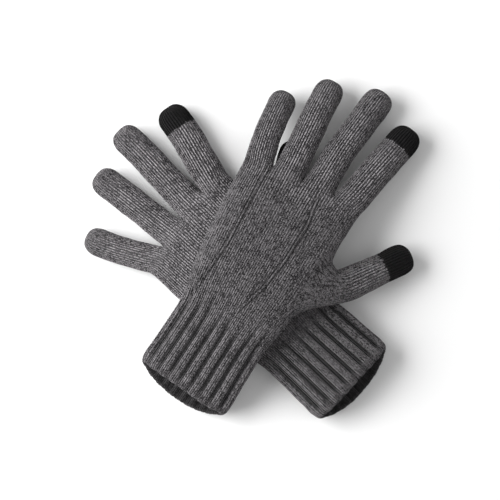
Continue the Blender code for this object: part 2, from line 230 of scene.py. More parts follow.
# %% The knitted finish


def knitted(name, dark, light, groove_dark=0.93, contrast=1.5, sheen=0.28, relief=0.0007):
    """Stocking stitch in heathered yarn, drawn from the knitting's own UV map, with painted shade in its
    hollows.
    """
    n = Nodes(name)
    stitch = n.add("ShaderNodeUVMap", {"uv_map": "knit"}).outputs["UV"]
    split = n.add("ShaderNodeSeparateXYZ", _0=stitch).outputs
    wale, course = split["X"], split["Y"]
    groove = n.add("ShaderNodeAttribute", {"attribute_name": "groove"}).outputs["Fac"]
    # The attribute 'line' holds painted shade: inside the cuff, in furrows, between wales and between
    # fingers.
    line = n.add("ShaderNodeAttribute", {"attribute_name": "line"}).outputs["Fac"]

    # 0 in the middle of a wale and 1 between two wales.
    off = n.math("MULTIPLY", n.math("ABSOLUTE", n.math("SUBTRACT", n.math("FRACT", wale), 0.5)), 2.0)
    # The legs of a stitch rise outwards from its middle, a whole stitch for each course.
    leg = n.math("SUBTRACT", course, n.math("MULTIPLY", off, 0.62))
    across_leg = n.math("SUBTRACT", n.math("FRACT", leg), 0.5)
    across_leg = n.math("MULTIPLY", n.math("ABSOLUTE", across_leg), 2.0)
    side = n.math("FLOOR", n.math("MULTIPLY", wale, 2.0))
    number = n.add("ShaderNodeCombineXYZ", _0=side, _1=n.math("FLOOR", leg)).outputs[0]
    pick = n.add("ShaderNodeTexWhiteNoise", {"noise_dimensions": "2D"}, Vector=number).outputs["Value"]

    place = n.add("ShaderNodeTexCoord").outputs["Object"]
    fibre = n.add("ShaderNodeTexNoise", Vector=place, Scale=1350.0, Detail=2.0, Roughness=0.7)
    cloud = n.add("ShaderNodeTexNoise", Vector=place, Scale=120.0, Detail=3.0, Roughness=0.6)
    shade = n.math("MULTIPLY_ADD", n.math("SUBTRACT", pick, 0.5), 0.42 * contrast, 0.5)
    fleck = n.math("SUBTRACT", fibre.outputs["Fac"], 0.5)
    shade = n.math("MULTIPLY_ADD", fleck, 2.6 * contrast, shade)
    patch = n.math("SUBTRACT", cloud.outputs["Fac"], 0.5)
    shade = n.math("MULTIPLY_ADD", patch, 0.7, shade)
    yarn = n.mix(n.ramp(shade, 0.12, 0.88), dark, light)
    # Where the grooves are deeper the yarn is lighter: stretched over the fingers the knitting shows more
    # of its light fibres, and the lightening also paints the fingers' lighter shading.
    stretch_and_painted_light = n.ramp(groove, 0.25, 1.3, 0.68, 1.85)

    # Painted shade: the colour is darkened between wales, at the ends of the stitches' legs and where
    # 'line' says.
    between = n.math("MULTIPLY", n.ramp(off, 0.35, 0.85), groove)
    gap = n.math("MULTIPLY", n.ramp(across_leg, 0.70, 1.0), 0.3)
    hollow = n.math("MINIMUM", n.math("MAXIMUM", n.math("MAXIMUM", between, gap), line), 1.0)
    keep = n.math("MULTIPLY", n.math("SUBTRACT", 1.0, n.math("MULTIPLY", hollow, groove_dark)), stretch_and_painted_light)
    tone = n.add("ShaderNodeCombineColor", _0=keep, _1=keep, _2=keep).outputs[0]
    n.link(n.mix(1.0, yarn, tone, "MULTIPLY"), n.shader.inputs["Base Color"])

    crown = n.math("SUBTRACT", 1.0, n.math("MULTIPLY", across_leg, across_leg))
    dip = n.math("MULTIPLY", n.math("MULTIPLY", off, off), n.math("ADD", groove, 0.35))
    height = n.math("SUBTRACT", n.math("MULTIPLY", crown, 0.45), dip)
    height = n.math("MULTIPLY_ADD", fleck, 0.9, height)
    bump = n.add("ShaderNodeBump", Height=height, Strength=0.85, Distance=relief)
    n.link(bump.outputs[0], n.shader.inputs["Normal"])
    n.shader.inputs["Roughness"].default_value = 0.95
    n.shader.inputs["Specular IOR Level"].default_value = 0.2
    n.shader.inputs["Sheen Weight"].default_value = sheen
    n.shader.inputs["Sheen Roughness"].default_value = 0.45
    n.shader.inputs["Sheen Tint"].default_value = (0.86, 0.84, 0.86, 1)
    return n.material


finishes = {
    "grey_yarn": knitted("grey_yarn", (0.010, 0.0085, 0.010, 1), (0.250, 0.237, 0.247, 1)),
    # A darker copy of the grey yarn: painted shade for the cuff's edge, where the mouth turns inside.
    "edge_yarn": knitted("edge_yarn", (0.009, 0.0075, 0.009, 1), (0.210, 0.198, 0.207, 1)),
    "black_conductive_yarn": knitted(
        "black_conductive_yarn", (0.0015, 0.0013, 0.0015, 1), (0.0095, 0.0085, 0.0092, 1), sheen=0.03
    ),
}
print("finishes:", ", ".join(finishes))

# %% [markdown]
# ## The shape of a glove
#
# A glove is knitted as one tube that splits into five. A cage of quads can do the same: a ring of
# edges is extruded from inside the cuff, out over its rim and up to the knuckles, where short webs
# across the ring part it into four smaller rings, one for each finger. The thumb grows from a hole in
# the side. A Subdivision Surface then rounds the cage, and since the rings carry the UV map with them,
# each wale runs unbroken from the cuff into a finger.

# %% The hand's measures in mm, along the glove from the cuff's mouth
HAND_WIDTHS = ((0, 72.0), (50, 69.0), (70, 78.0), (97, 84.0), (115, 86.0), (161, 89.0))
HAND_DRIFT = {"left": -8.9, "right": 4.5}  # how far the knuckles sit towards the thumb
MOUTH_LEAN = 7.0  # how much further the cuff's lower wall reaches than its upper wall
CORNER = 2.6  # how far the mouth's corners are rounded off
PALM_END = 161.5
KNUCKLE_SLANT = 0.13
WALL = 3.2  # the cuff's thickness
COLUMNS = 36
TOP = 17  # points of a ring on its upper face, from the little finger's side to the index's
WALES = 3  # in each column
COURSE = 1.25  # height of a stitch


def curve(x, knots):
    """A smooth line through (x, value) knots."""
    xs, ys = zip(*knots)
    if x <= xs[0] or x >= xs[-1]:
        return ys[0] if x <= xs[0] else ys[-1]
    k = next(i for i in range(len(xs) - 1) if x <= xs[i + 1])
    slope = []
    for i in (k, k + 1):
        a, b = max(i - 1, 0), min(i + 1, len(xs) - 1)
        slope.append((ys[b] - ys[a]) / (xs[b] - xs[a]) * (xs[k + 1] - xs[k]))
    t = (x - xs[k]) / (xs[k + 1] - xs[k])
    start = (2 * t**3 - 3 * t**2 + 1) * ys[k] + (t**3 - 2 * t**2 + t) * slope[0]
    return start + (3 * t**2 - 2 * t**3) * ys[k + 1] + (t**3 - t**2) * slope[1]


def step(x, low, high):
    """0 below low and 1 above high, with a smooth rise between."""
    t = np.clip((x - low) / (high - low), 0, 1)
    return t * t * (3 - 2 * t)


def heights(glove):
    """The hand's lowest and highest points down its middle, in mm, as two lists of knots."""
    inverse = spaces[glove].inverted()
    low, high = [], []
    for part, stations in (("cuff", (4, 18, 34)), ("hand", (54, 68, 82, 98, 114, 130, 146, 158))):
        bm = bmesh.new()
        bm.from_mesh(frame["nodes"][f"{glove}_{part}"].data)
        bm.transform(inverse)
        for y in stations:
            cut = bm.copy()
            whole = cut.verts[:] + cut.edges[:] + cut.faces[:]
            made = bmesh.ops.bisect_plane(cut, geom=whole, plane_co=(0, y * MM, 0), plane_no=(0, 1, 0))
            middle = curve(y, ((50, 0), (PALM_END, HAND_DRIFT[glove])))
            rows = [
                v.co.z / MM for v in made["geom_cut"]
                if isinstance(v, bmesh.types.BMVert) and abs(v.co.x / MM - middle) < 14
            ]
            low.append((y, min(rows)))
            high.append((y, max(rows)))
            cut.free()
        bm.free()
    return low, high


heights_of = {glove: heights(glove) for glove in spaces}
for glove, (low, high) in heights_of.items():
    print(f"{glove} palm lies between {low[6][1]:.1f} and {high[6][1]:.1f} mm")

# %% [markdown]
# One step of extrusion is used everywhere. It takes a ring, extrudes its edges, moves the new ring
# into place, and gives the new faces their stitches and the name of the piece they belong to.

# %% Rings
PIECES = ["hand", "wrist", "cuff", "cuff_edge", "cuff_lining"]
for finger in FINGERS:
    PIECES += [f"{finger}_root", f"{finger}_middle", f"{finger}_end"]
PIECES += ["thumb_root", "thumb_end", "index_touch_tip", "thumb_touch_tip"]


class Cage:
    """A cage of quads with its UV map, its groove strength and the piece that each face belongs to."""

    def __init__(self):
        self.bm = bmesh.new()
        self.uv = self.bm.loops.layers.uv.new("knit")
        self.groove = self.bm.verts.layers.float.new("groove")

    def put(self, ring, points, grooves):
        for vertex, point, groove in zip(ring, points, grooves):
            vertex.co = point
            vertex[self.groove] = groove

    def first(self, points, piece):
        ring = bmesh.ops.create_circle(self.bm, cap_ends=True, segments=len(points), radius=1)["verts"]
        ring[0].link_faces[0].material_index = PIECES.index(piece)
        self.put(ring, points, [0.0] * len(ring))
        return ring

    def next(self, ring, points, grooves, wales, courses, piece):
        """wales holds each column's first and last wale. courses are the old and the new ring's, each
        one number or a list with one for each point."""
        courses = [c if isinstance(c, list) else [c] * len(ring) for c in courses]
        pairs = list(zip(ring, ring[1:] + ring[:1]))
        made = bmesh.ops.extrude_edge_only(self.bm, edges=[self.bm.edges.get(p) for p in pairs])["geom"]
        fresh = {v for v in made if isinstance(v, bmesh.types.BMVert)}
        twins = [next(e.other_vert(v) for e in v.link_edges if e.other_vert(v) in fresh) for v in ring]
        self.put(twins, points, grooves)
        for k, (a, b) in enumerate(pairs):
            c, d = twins[k], twins[(k + 1) % len(twins)]
            face = self.bm.edges.get((c, d)).link_faces[0]
            face.material_index = PIECES.index(piece)
            after = (k + 1) % len(ring)
            corners = {a: (0, 0, k), b: (1, 0, after), c: (0, 1, k), d: (1, 1, after)}
            for loop in face.loops:
                i, j, place = corners[loop.vert]
                loop[self.uv].uv = (wales[k][i], courses[j][place])
        return twins

    def close(self, ring, wales, course, piece):
        """Closes a fingertip's last ring."""
        face = self.bm.faces.new(ring)
        face.material_index = PIECES.index(piece)
        for loop in face.loops:
            loop[self.uv].uv = (wales[ring.index(loop.vert)][0], course)


body_wales = [(k * WALES, (k + 1) * WALES) for k in range(COLUMNS)]
print("wales round the hand:", int(COLUMNS * WALES))

# %% The hand's rings
WEBS = {}  # where the fingers part, as shares of the half width
for glove in spaces:
    roots = [spaces[glove].inverted() @ finger_line(glove, finger)[0] / MM for finger in FINGERS]
    half = HAND_WIDTHS[-1][1] / 2
    WEBS[glove] = [((a.x + b.x) / 2 - HAND_DRIFT[glove]) / half for a, b in zip(roots, roots[1:])]
    print(glove, "fingers part at", [round(w, 2) for w in WEBS[glove]])


def hand_ring(glove, y, inset=0.0, along=None, shape=2.3, flat=1.0):
    """A ring across the hand at y: over the upper face, round the thumb's side and back below."""
    low, high = (curve(y, knots) for knots in heights_of[glove])
    half_depth = ((high - low) / 2 - inset) * flat
    half_width = curve(y, HAND_WIDTHS) / 2 - inset
    middle = curve(y, ((50, 0), (PALM_END, HAND_DRIFT[glove])))
    slant = KNUCKLE_SLANT * step(y, 70, PALM_END)
    lean = MOUTH_LEAN * (1 - step(y, 0, 46))
    corner = CORNER * (1 - step(y, 0, 14))
    near_webs = float(step(y, 105, PALM_END))
    edge = 0.945
    shares = []
    for k, web in enumerate([-edge, *WEBS[glove], edge]):
        even = -edge + edge * k / 2
        shares.append(even + (web - even) * near_webs)
    across = [shares[k // 4] + (shares[k // 4 + 1] - shares[k // 4]) * (k % 4) / 4 for k in range(TOP - 1)]
    across.append(shares[-1])
    sections = [(x, 1) for x in across] + [(1, 0)] + [(x, -1) for x in reversed(across)] + [(-1, 0)]
    points = []
    for x, side in sections:
        z = side * (1 - abs(x) ** shape) ** (1 / shape)
        drop = lean * max(-z, 0) * (1 - 0.8 * x * x) - corner * abs(x) ** 7
        place = (y if along is None else along) + slant * x * half_width - drop
        point = Vector((middle + x * half_width, place, (low + high) / 2 + z * half_depth))
        points.append(spaces[glove] @ (point * MM))
    return points


print("a ring across the palm has", len(hand_ring("left", 100)), "points")

# %% The cuff, the wrist and the palm
LINING_ROWS = (43, 30, 18, 8, 2.5)
OUTER_ROWS = (
    (2.5, "cuff_edge"), (9, "cuff"), (20, "cuff"), (31, "cuff"), (42, "cuff"), (51, "wrist"), (62, "wrist"),
    *((y, "hand") for y in (74, 86, 106, 126, 140, 152, PALM_END)),
)
# Groove strength on the hand; it also sets the painted shade between wales and the painted lightening of
# the yarn, and is highest on the right glove, whose wales run along the light.
HAND_GROOVE = {"left": 0.32, "right": 1.0}


def build_body(cage, glove):
    """The tube from inside the cuff to the knuckles. Returns its rings by their place along it."""
    rings = {}
    ring = cage.first(hand_ring(glove, LINING_ROWS[0] + 2, WALL, flat=0.3), "cuff_lining")
    before = LINING_ROWS[0] + 2
    still = [0.25] * COLUMNS
    for y in LINING_ROWS:
        courses = (-before / COURSE, -y / COURSE)
        flat = 1 - 0.35 * float(step(y, 20, 46))
        points = hand_ring(glove, y, WALL, flat=flat)
        ring = cage.next(ring, points, still, body_wales, courses, "cuff_lining")
        before = y
    for inset, along in ((WALL * 0.9, -0.8), (WALL * 0.5, -2.4), (WALL * 0.1, -0.8)):
        points = hand_ring(glove, 0, inset, along)
        ring = cage.next(ring, points, still, body_wales, (-before / COURSE, 0), "cuff_edge")
        before = 0
    for y, piece in OUTER_ROWS:
        groove = 0.55 + (HAND_GROOVE[glove] - 0.55) * float(step(y, 42, 80))
        points = hand_ring(glove, y)
        grooves = [groove + (0.8 - groove) * float(step(y, 140, PALM_END + 6))] * COLUMNS
        ring = cage.next(ring, points, grooves, body_wales, (before / COURSE, y / COURSE), piece)
        rings[y] = ring
        before = y
    return rings


# %% [markdown]
# A finger's ring has twelve points: five above, five below and one at each side. At the knuckles the
# side points are the webs between two fingers. The finger swells a little past each crease and ends in
# a dome.

# %% The fingers' rings
SIZES = {"little": (19.5, 13.8), "ring": (21.0, 14.8), "middle": (21.4, 15.0), "index": (22.6, 15.0)}
FINGER_GROOVE = {"left": 1.0, "right": 1.3}  # deeper grooves, darker painted shade between wales and lighter yarn on the right glove's fingers, whose wales run along the light
TIP_GROOVE = 0.48
RING_POINTS = 12
RING_SPREAD = 1.047  # subdivision draws a ring of twelve points in by so much
DOME = ((8.0, 0.99), (3.6, 0.80), (0.7, 0.45))  # distance from the tip, and size
SEAM = {"index": 18.5, "thumb": 24.5}  # how far the black tips reach from the fingertip
FINGER_START = 150  # degrees, of a ring's first point


def finger_ring(centre, way, width, depth, start=FINGER_START, turn=-1, shape=2.1):
    """Twelve points round centre, across way."""
    side = way.cross(UP).normalized()
    up = side.cross(way).normalized()
    points = []
    for k in range(RING_POINTS):
        angle = math.radians(start + turn * k * 360 / RING_POINTS)
        c, s = math.cos(angle), math.sin(angle)
        size = (abs(c) ** shape + abs(s) ** shape) ** (-1 / shape) * RING_SPREAD * MM / 2
        points.append(centre + side * (c * size * width) + up * (s * size * depth))
    return points


def along_line(line, distance):
    """The point and the direction at a distance along a line of points, softened at its corners."""
    soften = 3.0 * MM

    def point(at):
        at = max(at, 0)
        for a, b in zip(line, line[1:]):
            length = (b - a).length
            if at <= length or b is line[-1]:
                return a + (b - a).normalized() * at
            at -= length

    ahead, behind = point(distance + soften), point(max(distance - soften, 0))
    return (ahead + behind + point(distance) * 2) / 4, (ahead - behind).normalized()


def finger_wales(index):
    """The wales in a finger's twelve columns: above, right web, below and left web."""
    face = 4 * WALES
    top, right, below = face * index, face * (index + 1), (TOP + 1) * WALES + face * (3 - index)
    starts = [top + WALES * k for k in range(4)] + [right, right + WALES]
    starts += [below + WALES * k for k in range(4)] + [below + face, below + face + WALES]
    return [(a, a + WALES) for a in starts]


def grow(cage, ring, line, stations, wales, first_course, size_at, start=FINGER_START, turn=-1):
    """Extrudes a finger from ring. stations are (distance in mm, groove, piece)."""
    total = line_length(line)
    way = (line[1] - line[0]).normalized()
    ring_courses = [first_course + (v.co - line[0]).dot(way) / MM / COURSE for v in ring]
    for distance, groove, piece in stations:
        centre, way = along_line(line, distance * MM)
        width, depth = size_at(distance)
        points = finger_ring(centre, way, width, depth, start, turn)
        angles = [math.radians(start + turn * k * 360 / RING_POINTS) for k in range(RING_POINTS)]
        sides = [groove * (1 - 0.4 * abs(math.cos(angle))) for angle in angles]
        courses = (ring_courses, first_course + distance / COURSE)
        ring = cage.next(ring, points, sides, wales, courses, piece)
        ring_courses = courses[1]
    before = stations[-1][0]
    width, depth = size_at(total - DOME[0][0])
    for back, scale in DOME:
        centre, way = along_line(line, (total - back) * MM)
        points = finger_ring(centre, way, width * scale, depth * scale, start, turn)
        courses = [first_course + d / COURSE for d in (before, total - back)]
        ring = cage.next(ring, points, [TIP_GROOVE] * RING_POINTS, wales, courses, stations[-1][2])
        before = total - back
    cage.close(ring, wales, first_course + total / COURSE, stations[-1][2])


def build_finger(cage, glove, index, knuckles, webs):
    finger = FINGERS[index]
    line = finger_line(glove, finger)
    first, second, third = ((b - a).length / MM for a, b in zip(line, line[1:]))
    left = webs[index - 1] if index else knuckles[COLUMNS - 1]
    right = webs[index] if index < 3 else knuckles[TOP]
    below = COLUMNS - 2 - 4 * (index + 1)
    ring = knuckles[4 * index:4 * index + 5] + [right] + knuckles[below:below + 5] + [left]
    width, depth = SIZES[finger]

    def size_at(distance):
        waist = 1 - 0.035 * math.exp(-((distance - first) / 5) ** 2)
        waist -= 0.035 * math.exp(-((distance - first - second) / 5) ** 2)
        return width * waist, depth * waist

    gain = FINGER_GROOVE[glove]
    stations = [
        (first * 0.22, 0.95 * gain, f"{finger}_root"),
        (first * 0.5, gain, f"{finger}_root"),
        (first * 0.95, gain, f"{finger}_middle"),
        (first + second * 0.5, 0.95 * gain, f"{finger}_middle"),
        (first + second * 0.95, 0.8 * gain, f"{finger}_end"),
        (first + second + third * 0.3, 0.62 * gain, f"{finger}_end"),
    ]
    grow(cage, ring, line, stations, finger_wales(index), PALM_END / COURSE, size_at)


# %% The thumb
THUMB_SIZE = (23.5, 14.8)
THUMB_END_WIDTH = 20.5
THUMB_FLAT = {"left": 0.0, "right": 4.2}  # the right thumb's end is pressed flat under the left glove
THUMB_ROWS = (86, 106, 126)


def build_thumb(cage, glove, rings):
    """Opens the side of the hand over two rows and grows the thumb from the hole."""
    a, b, c = (rings[y][TOP - 2:TOP + 3] for y in THUMB_ROWS)  # five points round the side of each
    inside = {*a, *b, *c}
    doomed = [f for f in {f for v in b for f in v.link_faces} if all(v in inside for v in f.verts)]
    bmesh.ops.delete(cage.bm, geom=doomed, context="FACES_ONLY")
    bmesh.ops.delete(cage.bm, geom=b[1:4], context="VERTS")
    loop = [a[0], b[0], *c, b[4], a[4], a[3], a[2], a[1]]
    wales = [(k * WALES, (k + 1) * WALES) for k in range(RING_POINTS)]
    line = thumb_line(glove)
    first, second = ((q - p).length / MM for p, q in zip(line, line[1:]))
    for p, q in zip(loop, loop[1:] + loop[:1]):
        if cage.bm.edges.get((p, q)) is None:
            cage.bm.edges.new((p, q))

    def size_at(distance):
        swell = THUMB_SIZE[0] + (THUMB_END_WIDTH - THUMB_SIZE[0]) * float(step(distance, 4, first + 8))
        swell += 2.2 * math.exp(-((distance - first - second + 10) / 8) ** 2)
        return swell, THUMB_SIZE[1] - THUMB_FLAT[glove] * float(step(distance, first, first + 10))

    # Half way to the thumb's root the ring is a mean of the hole and the root's ring.
    way = (line[1] - line[0]).normalized()
    root = finger_ring(line[0], way, *THUMB_SIZE, start=60, turn=1)
    halfway = [(v.co + p) / 2 for v, p in zip(loop, root)]
    first_course = THUMB_ROWS[1] / COURSE
    hole_courses, half_courses = (
        [first_course + (p - line[0]).dot(way) / MM / COURSE for p in places]
        for places in ([v.co for v in loop], halfway)
    )
    loop = cage.next(loop, halfway, [0.2] * RING_POINTS, wales, (hole_courses, half_courses), "hand")
    stations = [
        (0.0, 0.6, "hand"),
        (first * 0.25, 0.9, "thumb_root"),
        (first * 0.55, 1.0, "thumb_root"),
        (first * 0.98, 1.0, "thumb_end"),
        (first + second * 0.36, 0.5, "thumb_end"),
    ]
    grow(cage, loop, line, stations, wales, first_course, size_at, start=60, turn=1)


# %% Both cages
LEVELS = 4
webs_of = {}  # the places where two fingers part


def build_glove(glove):
    """The rounded glove as one mesh, with its UV map, groove strength and pieces."""
    cage = Cage()
    rings = build_body(cage, glove)
    knuckles = rings[PALM_END]
    webs = []
    for index in range(3):
        above, below = knuckles[4 * (index + 1)], knuckles[COLUMNS - 2 - 4 * (index + 1)]
        web = bmesh.ops.create_vert(cage.bm, co=(above.co + below.co) / 2)["vert"][0]
        web.co += spaces[glove].to_3x3() @ Vector((0, 1.0 * MM, 0))
        web[cage.groove] = 0.5
        for end in (above, below):
            cage.bm.edges.new((end, web))
        webs.append(web)
    webs_of[glove] = [web.co[:] for web in webs]
    for index in range(4):
        build_finger(cage, glove, index, knuckles, webs)
    build_thumb(cage, glove, rings)
    bmesh.ops.recalc_face_normals(cage.bm, faces=cage.bm.faces[:])
    for face in cage.bm.faces:
        face.smooth = True
    open_edges = [e for e in cage.bm.edges if len(e.link_faces) != 2]
    mesh = bpy.data.meshes.new(f"{glove}_glove")
    cage.bm.to_mesh(mesh)
    cage.bm.free()
    glove_object = bpy.data.objects.new(f"{glove}_glove", mesh)
    bpy.context.scene.collection.objects.link(glove_object)
    for piece in PIECES:
        mesh.materials.append(bpy.data.materials.new(f"{glove}_{piece}"))
    round_off = glove_object.modifiers.new("round", "SUBSURF")
    round_off.levels = round_off.render_levels = LEVELS
    smooth = glove_object.evaluated_get(bpy.context.evaluated_depsgraph_get())
    glove_object.data = bpy.data.meshes.new_from_object(smooth)
    glove_object.modifiers.clear()
    quads = len(glove_object.data.polygons)
    print(glove, "glove:", quads, "quads,", len(open_edges), "open edges in the cage")
    return glove_object


gloves = {glove: build_glove(glove) for glove in spaces}

# %% [markdown]
# ## Relief
#
# The rounded gloves are smooth. Real knitting has relief: every wale is a low ridge, clearest where the
# fabric is stretched over the fingers' backs, and the cuff's rib stands up in round ridges with deep
# furrows between them. Each point knows its wale and course, so the relief is a height worked out for
# all points at once and added along their normals.

# %% Reading the mesh


def read(data, attribute, kind, width):
    values = np.empty(len(data) * width, kind)
    data.foreach_get(attribute, values)
    return values.reshape(-1, width) if width > 1 else values


def point_values(mesh):
    """Each point's wale and course."""
    corners = read(mesh.loops, "vertex_index", np.int32, 1)
    stitches = read(mesh.uv_layers["knit"].uv, "vector", np.float32, 2)
    values = np.zeros((len(mesh.vertices), 2), np.float32)
    values[corners] = stitches
    return values


def lumps(points, scale, seed):
    """Soft random lumps from -1 to 1 over the fabric."""
    offset = Vector((seed * 3.1, seed * 5.7, seed * 2.3))
    return np.array([noise.noise(Vector(p) * scale + offset) for p in points])


# %% [markdown]
# A rib is a ridge with a flat top and a deep furrow, and a shallow line runs down it between its two
# columns of stitches. The ribs fade into the palm, each at a height of its own, and inside the cuff
# they stand the other way.

# %% The cuff's ribs
RIB_WALES = 6  # wales to a rib
RIB_HEIGHT = 1.35
RIB_LINE = 0.35  # depth of the line down a rib
RIB_FADE = (38, 64)  # mm from the mouth, where the ribs begin to fade and where they are gone
FURROW_DARK = {"left": 0.15, "right": 0.40}  # how far the painted shade in the ribs' furrows reaches, further on the right glove, whose ribs run along the light


def ribs(glove, wale, along, y, lining):
    """The ribs' relief in mm, and the painted shade in their furrows and along the line down each rib."""
    rib = np.floor(wale / RIB_WALES + 0.5)
    ragged = 5.0 * np.sin(rib * 2.4 + 0.7) + 2.0 * np.sin(rib * 5.1)
    share = np.cos(2 * math.pi * wale / RIB_WALES)
    ridge = np.tanh(1.7 * (share + 0.2)) / math.tanh(1.7 * 1.2)
    crown = np.exp(-(((wale / RIB_WALES - rib) / 0.10) ** 2))
    fade = (1 - step(along + ragged, *RIB_FADE)) * (0.35 + 0.65 * step(along, 0, 7))
    fade = fade * ((np.abs(y) < 80) & (along < 80))
    height = (RIB_HEIGHT * ridge - RIB_LINE * crown) * fade * np.where(lining, -0.7, 1.0)
    # Painted shade: darkest in the furrows and along the line down each rib.
    shade = np.clip(FURROW_DARK[glove] - 0.8 * share, 0, 1)
    return height, np.maximum(shade, 0.45 * crown) * fade


# %% [markdown]
# Two fine double furrows run down the back of the upper glove, each with a low ridge between its lines.

# %% The double furrows
FURROWS = (  # (along, across) in mm, in the glove's own space
    ((50, -29.0), (98, -28.5), (149, -34.5), (163, -35.5)),
    ((64, 4.0), (85, 9.6), (110, 11.4), (138, 10.5), (165, 3.8)),
)
FURROW_DEPTH = 0.75
FURROW_RIDGE = 0.35  # height of the ridge between the two lines
FURROW_SIDE = 1.2  # from the ridge to each line


def double_furrows(x, y, wale, course, above):
    """The furrows' relief in mm, and the painted shade in their lines."""
    height, line = np.zeros(len(x)), np.zeros(len(x))
    above = above & (y > 44) & (y < 168) & (wale < (TOP - 1) * WALES)
    for knots in FURROWS:
        middle = np.interp(y, [k[0] for k in knots], [k[1] for k in knots])
        ends = step(y, knots[0][0] - 6, knots[0][0] + 4) * (1 - step(y, 158, 166))
        dash = 0.85 + 0.15 * np.cos(2 * math.pi * course / 2)
        for side in (-FURROW_SIDE, FURROW_SIDE):
            near = np.exp(-(((x - middle - side) / 0.58) ** 2))
            line = np.maximum(line, near * ends * above * dash)
        height += FURROW_RIDGE * np.exp(-(((x - middle) / 0.6) ** 2)) * ends * above
    return height - FURROW_DEPTH * line, line


# %% [markdown]
# The ribs, the wales, the furrows and some soft lumps add up to one height for each point. Shade is painted
# into the colour too: in the hollows between them, since the finest ones are too narrow for the light to
# show, inside the cuff and in the corners between two fingers.

# %% The relief and the painted shade of a whole glove
WALE_HEIGHT = 0.45
GAP_DARK = {"left": 0.40, "right": 0.90}  # the painted shade between two wales, darker on the right glove, whose wales run along the light
# painted shade inside the cuff, where little light reaches
INSIDE_DARK = 0.92
# painted shade in the corners where two fingers part
WEB_DARK = 0.95
WEB_REACH = 6.0  # how far the painted shade between two fingers reaches
LUMPS = {"left": (1.0, 3.0), "right": (2.0, 4.0)}  # seeds of the coarse and the fine lumps
LOWEST = 0.25  # above the floor


def add_relief(glove_object, glove):
    mesh = glove_object.data
    places = read(mesh.vertices, "co", np.float32, 3)
    normals = read(mesh.vertex_normals, "vector", np.float32, 3)
    groove = read(mesh.attributes["groove"].data, "value", np.float32, 1)
    wale, course = point_values(mesh).T
    own = np.array(spaces[glove].inverted())
    x, y, _ = ((places @ own[:3, :3].T + own[:3, 3]) / MM).T
    lining = course < 0
    along = np.abs(course) * COURSE

    height, furrow_dark = ribs(glove, wale, along, y, lining)
    height += WALE_HEIGHT * np.cos(2 * math.pi * (wale - 0.5)) * groove * np.where(lining, 0.3, 1.0)
    line = np.zeros(len(x))
    if glove == "left":
        furrows, line = double_furrows(x, y, wale, course, normals[:, 2] > 0.35)
        height += furrows
    coarse, fine = LUMPS[glove]
    height += 0.55 * lumps(places, 38.0, coarse) + 0.22 * lumps(places, 160.0, fine)
    moved = places + normals * (height * MM)[:, None].astype(np.float32)
    moved[:, 2] = np.maximum(moved[:, 2], LOWEST * MM)
    mesh.vertices.foreach_set("co", moved.ravel())

    # Painted shade: inside the cuff, between wales, in the ribs' furrows, along the double furrows and
    # between fingers.
    inside = INSIDE_DARK * step(along, -3, 1) * lining
    between = GAP_DARK[glove] * groove * (0.5 + 0.5 * np.cos(2 * math.pi * wale))
    shade = np.maximum.reduce([0.8 * line, furrow_dark, inside, between])
    for web in webs_of[glove]:
        gap = np.linalg.norm(places - np.array(web), axis=1) / MM
        shade = np.maximum(shade, WEB_DARK * np.exp(-((gap / WEB_REACH) ** 2)))
    # The painted shade is stored as the attribute 'line', which the knitted finish reads.
    dark = mesh.attributes.new("line", "FLOAT", "POINT")
    dark.data.foreach_set("value", shade.astype(np.float32))
    mesh.update()
    print(glove, "relief from", round(float(height.min()), 2), "to", round(float(height.max()), 2), "mm")


for glove, glove_object in gloves.items():
    add_relief(glove_object, glove)

# %% [markdown]
# The black tips are knitted in where the grey yarn is joined, so their border follows whole stitches
# and looks a little ragged. Faces past the seam are given to the tip, wale by wale.

# %% The black tips' borders


def mark_tip(mesh, finger, seam_course):
    """Gives the faces of a finger's end past seam_course to its touch tip."""
    source, target = PIECES.index(f"{finger}_end"), PIECES.index(f"{finger}_touch_tip")
    pieces = read(mesh.polygons, "material_index", np.int32, 1)
    starts = read(mesh.polygons, "loop_start", np.int32, 1)
    stitches = read(mesh.uv_layers["knit"].uv, "vector", np.float32, 2)
    wale = stitches[starts, 0]
    course = (stitches[starts, 1] + stitches[starts + 2, 1]) / 2
    whole = np.floor(wale)
    ragged = 0.30 * np.sin(whole * 2.9) + 0.22 * np.sin(whole * 1.3 + 1.0)
    ragged += 0.75 * np.abs((wale - whole) - 0.5)
    past = (pieces == source) & (course > seam_course + ragged)
    pieces[past] = target
    mesh.polygons.foreach_set("material_index", pieces)
    return int(past.sum())


for glove, glove_object in gloves.items():
    mesh = glove_object.data
    index_seam = (PALM_END + line_length(finger_line(glove, "index")) - SEAM["index"]) / COURSE
    thumb_seam = (THUMB_ROWS[1] + line_length(thumb_line(glove)) - SEAM["thumb"]) / COURSE
    counts = mark_tip(mesh, "index", index_seam), mark_tip(mesh, "thumb", thumb_seam)
    print(glove, "tip faces:", counts)

# %% [markdown]
# ## Pieces
#
# Each glove is cut into pieces where the solid model's bodies meet, so that a piece can ride with one body.
# The whole glove's normals are kept on the pieces, which hides the cuts.

# %% Cut the gloves into pieces


